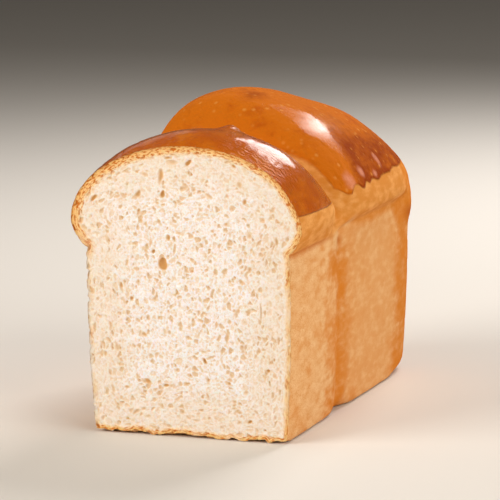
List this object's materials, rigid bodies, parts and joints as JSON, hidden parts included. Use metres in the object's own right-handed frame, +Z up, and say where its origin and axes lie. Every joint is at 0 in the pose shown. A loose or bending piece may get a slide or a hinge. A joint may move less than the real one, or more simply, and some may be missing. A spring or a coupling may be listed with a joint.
{
  "type": "tin loaf",
  "caption": "Part of a domed tin loaf with a glazed crust, cut straight across one of its lobes to show the pale crumb, standing on its flat underside.",
  "frame": {"origin": "on the underside's plane, under the middle of the loaf's bounding box", "axes": "+Y along the loaf from the cut face to the heel, +Z up, +X to the right when the cut face is looked at from the front"},
  "size_m": [0.1466, 0.2324, 0.19],
  "materials": {
    "crust": "browned bread crust, glossy where it is glazed on top and matte tan on the walls",
    "crumb": "soft cream-white bread crumb with fine cells"
  },
  "bodies": {
    "root": {"loaf": "crust"}
  },
  "joints": []
}
